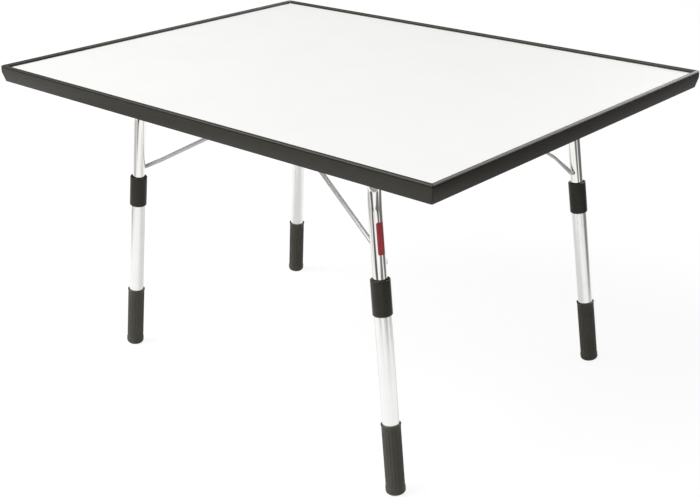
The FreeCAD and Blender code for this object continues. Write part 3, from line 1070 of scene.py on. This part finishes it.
@dataclass
class ClipSet:
    """Saddle clips under the board and their screws."""

    scatter: NodeTree
    shank_radius: float = 0.00175
    shank_length: float = 0.011
    head_radius: float = 0.0036
    head_height: float = 0.0024
    recess_width: float = 0.0011
    recess_span: float = 0.0042
    recess_depth: float = 0.0013
    dome_turns: tuple[float, ...] = (0, 0.35, 0.7, 1.0, 1.25, 1.45)
    tip_share: float = 0.5
    segments: int = 32
    seed: int = 7
    kinds: tuple[ClipKind, ...] = (ClipKind("pivot", "fold", 0.0025, 0.014),
                                   ClipKind("stay", "stay_fold", 0.002, 0.010))

    def screw(self, wall: float) -> Object:
        """Pan-head screw with a cross recess, seat at the origin and shank upwards.

        Args:
            wall: Thickness of the clip that it passes through.

        Returns:
            The screw as an object.
        """
        top = self.shank_length + wall
        dome = [(self.head_radius * math.cos(a), -self.head_height / 2 * (1 + math.sin(a)))
                for a in self.dome_turns]
        profile = [(0, top), (self.shank_radius * self.tip_share, top),
                   (self.shank_radius, top - self.shank_radius),
                   (self.shank_radius, 0), (self.head_radius, 0), *dome, (0, -self.head_height)]
        mesh = turned("screw", profile, self.segments, Matrix())
        return add_object("cross_screw", cut_away(add_object("screw", mesh), self.recess_cutter()))

    def recess_cutter(self) -> Object:
        """Makes the cross that cuts the recess into a screw's head.

        Returns:
            The cross as an object.
        """
        span, width = self.recess_span, self.recess_width
        outline = [(span / 2, width / 2), (width / 2, width / 2), (width / 2, span / 2)]
        corners = []
        for quarter in range(4):
            turn = Matrix.Rotation(quarter * math.pi / 2, 3, "Z")
            corners += [turn @ Vector((x, y, -self.head_height)) for x, y in outline]
        depth = Vector((0, 0, self.recess_depth))
        shape = skinned_rings([[c - depth for c in corners], [c + depth for c in corners]], closed=False)
        bmesh.ops.recalc_face_normals(shape, faces=shape.faces)
        return add_object("recess_cutter", mesh_from("recess_cutter", shape))

    def seats(self, kind: ClipKind) -> list[Vector]:
        """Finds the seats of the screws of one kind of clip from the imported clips.

        Args:
            kind: Kind of clip.

        Returns:
            Points under the clips' flanges.
        """
        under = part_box("top_panel")[0].z - kind.wall
        seats = []
        for pair in Pair:
            bar = Vector(joint(f"{pair.value}_{kind.hinge}")["pos_m"])
            for side in Side:
                low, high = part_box(f"{pair.value}_{kind.name}_clip_{side.value}")
                reach = (high.x - low.x) / 2 - kind.flange / 2
                y = (low.y + high.y) / 2
                seats += [Vector((bar.x + step * reach, y, under)) for step in (-1, 1)]
        return seats

    def build(self) -> None:
        """Makes the screws and dresses the clips."""
        clips = [node for node in frame["nodes"] if "_clip_" in node and "screws" not in node]
        dress_nodes(CLIP_PLASTIC, clips)
        for kind in self.kinds:
            part = self.screw(kind.wall)
            worked = point_object(f"{kind.name}_seats", self.seats(kind), joined=False)
            self.scatter.put_on(worked, part=part, seed=self.seed, finish=ZINC.material())
            mesh = smoothed(real_mesh(worked))
            bpy.data.objects.remove(part)
            add_piece(f"{kind.name}_cross_screws", mesh, ZINC, "table_top", f"{kind.name}_clip_screws")


@dataclass
class LegLabel:
    """Plain red film on the upper tube of the front leg of the wide pair."""

    leg: LegGeometry
    radius: float = 0.009
    glue_gap: float = 0.00002
    thickness: float = 0.00012
    start: float = 0.0165
    end: float = 0.0575
    first_angle: float = math.radians(-2)
    last_angle: float = math.radians(62)
    corner: float = 0.0012
    columns: int = 24
    rows: int = 24
    facing: tuple[float, float, float] = (0.6615, -0.7415, 0.1120)

    def build(self) -> None:
        """Makes the film as a thin curved sheet with rounded corners."""
        down, knee = self.leg.axis, self.leg.knee
        facing = Vector(self.facing)
        outwards = (facing - down * facing.dot(down)).normalized()
        across = outwards.cross(down).normalized()
        rings = []
        for row in range(self.rows + 1):
            drop = self.start + (self.end - self.start) * row / self.rows
            inset = self.corner_inset(drop) / self.radius
            low, high = self.first_angle + inset, self.last_angle - inset
            angles = [low + (high - low) * column / self.columns for column in range(self.columns + 1)]
            ways = [outwards * math.cos(angle) + across * math.sin(angle) for angle in angles]
            middle = knee + down * drop
            inner = [middle + way * (self.radius + self.glue_gap) for way in ways]
            outer = [middle + way * (self.radius + self.thickness) for way in reversed(ways)]
            rings.append(inner + outer)
        mesh = finished_mesh("red_label", skinned_rings(rings, closed=False), Matrix())
        add_piece("red_label", mesh, RED_FILM, "wide_frame")

    def corner_inset(self, drop: float) -> float:
        """Finds how far the film's sides are drawn in for its round corners.

        Args:
            drop: Distance below the knee.

        Returns:
            The inset there.
        """
        near = min(drop - self.start, self.end - drop)
        if near >= self.corner:
            return 0
        return self.corner - math.sqrt(max(0, self.corner ** 2 - (self.corner - near) ** 2))


# Studio


@dataclass(frozen=True)
class PaintedReflectionPatch:
    """Painted reflection: a darker patch of the floor that only mirrored rays see, painted so that polished
    metal shows dark streaks and the table's shadow.
    """

    centre: tuple[float, float]
    reach: tuple[float, float]
    softness: float
    level: float


@dataclass(frozen=True)
class Lamp:
    """A square soft lamp aimed at the table top."""

    name: str
    place: tuple[float, float, float]
    size: float
    energy: float
    mirrored_only: bool = False


@dataclass
class Studio:
    """Camera, floor and soft light."""

    image_width: int = 700
    image_height: int = 497
    focal_pixels: float = 1173.592
    centre_x: float = 360.88
    centre_y: float = 253.61
    pitch: float = 1.161536
    azimuth: float = 0.728317
    roll: float = -0.014095
    position: tuple[float, float, float] = (1.107754, -1.207496, 0.886148)
    sensor: float = 36.0
    floor_size: float = 30.0
    floor_color: float = 0.8
    seen_floor_color: float = 0.14
    seen_floor_glow: float = 0.9
    shown_level: float = 1.0
    fill_level: float = 0.32
    lamps: tuple[Lamp, ...] = (Lamp("soft_key", (-2.2, -3.1, 4.4), 4.8, 392.0),
                               Lamp("back_card", (0.6, 2.0, 1.9), 2.8, 120.0, mirrored_only=True))
    surround_level: float = 0.35
    mirrored_floor: float = 1.0
    # Painted reflections: darker floor patches that only mirrored rays see. They give polished metal its dark
    # streaks and the table's shadow mirrored in it.
    painted_reflection_patches: tuple[PaintedReflectionPatch, ...] = (PaintedReflectionPatch((0.2, -1.85), (0.25, 0.7), 0.22, 0.12),
                                  PaintedReflectionPatch((0.1, -5.2), (0.9, 2.6), 0.6, 0.12),
                                  PaintedReflectionPatch((2.3, -0.6), (1.0, 0.4), 0.25, 0.2),
                                  PaintedReflectionPatch((6.5, -1.2), (3.2, 1.3), 0.8, 0.15),
                                  PaintedReflectionPatch((1.7, 1.55), (0.9, 1.0), 0.45, 0.15),
                                  PaintedReflectionPatch((-1.1, -1.3), (0.6, 0.35), 0.3, 0.55),
                                  PaintedReflectionPatch((-0.85, -0.65), (0.14, 0.12), 0.12, 0.35),
                                  PaintedReflectionPatch((-0.05, 0.05), (0.25, 0.1), 0.3, 0.72))

    def build(self) -> None:
        """Makes the camera, the floor and the light."""
        self.build_camera()
        self.build_floor()
        for lamp in self.lamps:
            self.build_lamp(lamp)
        self.build_world()
        bpy.context.scene.view_settings.view_transform = "Standard"

    def build_camera(self) -> None:
        """Puts the camera where the photograph was taken."""
        data = bpy.data.cameras.new("photo_camera")
        data.sensor_width = self.sensor
        data.lens = self.focal_pixels * self.sensor / self.image_width
        data.shift_x = (self.image_width / 2 - self.centre_x) / self.image_width
        data.shift_y = (self.centre_y - self.image_height / 2) / self.image_width
        camera = add_object("photo_camera", data)
        turn = (Matrix.Rotation(self.azimuth, 4, "Z") @ Matrix.Rotation(self.pitch, 4, "X")
                @ Matrix.Rotation(self.roll, 4, "Z"))
        camera.matrix_world = Matrix.Translation(self.position) @ turn
        bpy.context.scene.camera = camera

    def by_ray(self, graph: Graph, ray: str, others: Socket, chosen: Socket) -> Socket:
        """Shader that is one thing to a kind of ray, as the light path names it, and another to the rest."""
        share = graph.node("ShaderNodeLightPath").outputs[ray]
        return graph.node("ShaderNodeMixShader", {"Fac": share, 1: others, 2: chosen}).outputs[0]

    def build_floor(self) -> None:
        """Makes a pale floor that keeps a faint shadow, and shows mirrored rays only a painted reflection of
        darker patches.
        """
        shape = bmesh.new()
        bmesh.ops.create_grid(shape, x_segments=1, y_segments=1, size=self.floor_size / 2)
        floor = add_object("floor", mesh_from("floor", shape))
        material = bpy.data.materials.new("pale_floor")
        material.use_nodes = True
        material.cycles.emission_sampling = "NONE"
        material.node_tree.nodes.clear()
        graph = Graph(material.node_tree)
        plain, seen = (graph.node("ShaderNodeBsdfDiffuse", {"Color": (level, level, level, 1)}).outputs[0]
                       for level in (self.floor_color, self.seen_floor_color))
        glow, mirrored = (graph.node("ShaderNodeEmission", {"Strength": level}).outputs[0]
                          for level in (self.seen_floor_glow, self.floor_level_with_painted_reflections(graph)))
        shown = graph.node("ShaderNodeAddShader", {0: seen, 1: glow}).outputs[0]
        # Mirrored rays see the floor with its painted reflection patches, painted shade that the camera never
        # sees.
        polished = self.by_ray(graph, "Is Glossy Ray", plain, mirrored)
        surface = self.by_ray(graph, "Is Camera Ray", polished, shown)
        graph.node("ShaderNodeOutputMaterial", {"Surface": surface})
        floor.data.materials.append(material)

    def floor_level_with_painted_reflections(self, graph: Graph) -> Socket | float:
        """Works out the level of the floor as polished metal shows it, darkened by the painted reflection
        patches.

        Args:
            graph: Node tree of the floor's material.

        Returns:
            The level.
        """
        place = graph.node("ShaderNodeTexCoord").outputs["Object"]
        level = self.mirrored_floor
        for painted_patch in self.painted_reflection_patches:
            centre = (*painted_patch.centre, 0)
            offset = graph.node("ShaderNodeVectorMath", {0: place, 1: centre}, operation="SUBTRACT")
            distance = graph.node("ShaderNodeVectorMath", {0: offset.outputs[0]}, operation="ABSOLUTE")
            parts = graph.node("ShaderNodeSeparateXYZ", {0: distance.outputs[0]})
            edges = []
            for axis, reach in zip("XY", painted_patch.reach):
                ranges = {"From Min": reach, "From Max": reach + painted_patch.softness, "To Min": painted_patch.level}
                edge = graph.node("ShaderNodeMapRange", {"Value": parts.outputs[axis], **ranges},
                                  interpolation_type="SMOOTHSTEP")
                edges.append(edge.outputs["Result"])
            # Each patch darkens the floor only where polished metal mirrors it: painted reflection.
            level = graph.math("MULTIPLY", graph.math("MAXIMUM", *edges), level)
        return level

    def build_lamp(self, lamp: Lamp) -> None:
        """Hangs a soft lamp.

        Args:
            lamp: Its name, place, size and power.
        """
        data = bpy.data.lights.new(lamp.name, "AREA")
        data.energy = lamp.energy
        data.shape = "SQUARE"
        data.size = lamp.size
        hung = add_object(lamp.name, data)
        hung.visible_diffuse = not lamp.mirrored_only
        place = Vector(lamp.place)
        aim = Vector((0, 0, CAD_BOX[1].z)) - place
        hung.matrix_world = Matrix.Translation(place) @ aim.to_track_quat("-Z", "Y").to_matrix().to_4x4()

    def build_world(self) -> None:
        """Surrounds the table with soft white light, dimmer where gloss mirrors it."""
        world = bpy.data.worlds.new("studio")
        bpy.context.scene.world = world
        world.use_nodes = True
        world.node_tree.nodes.clear()
        graph = Graph(world.node_tree)
        levels = (self.fill_level, self.surround_level, self.shown_level)
        lights = [{"Color": WHITE, "Strength": level} for level in levels]
        fill, mirrored, shown = (graph.node("ShaderNodeBackground", light).outputs[0] for light in lights)
        metal = self.by_ray(graph, "Is Glossy Ray", fill, mirrored)
        surround = self.by_ray(graph, "Is Camera Ray", metal, shown)
        graph.node("ShaderNodeOutputWorld", {"Surface": surround})


def main() -> None:
    """Builds the sub-assemblies in order and dresses them."""
    logging.basicConfig(level=logging.INFO)
    sweep = sweep_tree()
    TableTop().build()
    ClipSet(scatter_tree()).build()
    for legs in (LegPair(Pair.WIDE, sweep, hook_drop=0.129, kink_rise=0.019, kink_inset=0.0014,
                         bar_half=0.1445),
                 LegPair(Pair.NARROW, sweep, hook_drop=0.133, kink_rise=0.013, kink_inset=0.007,
                         bar_half=0.097)):
        legs.build_tube()
        legs.build_stay()
    for pair in Pair:
        for side in Side:
            LowerLeg(LegGeometry(pair, side)).build()
    LegLabel(LegGeometry(Pair.WIDE, Side.FRONT)).build()
    Studio().build()


if __name__ == "__main__":
    main()
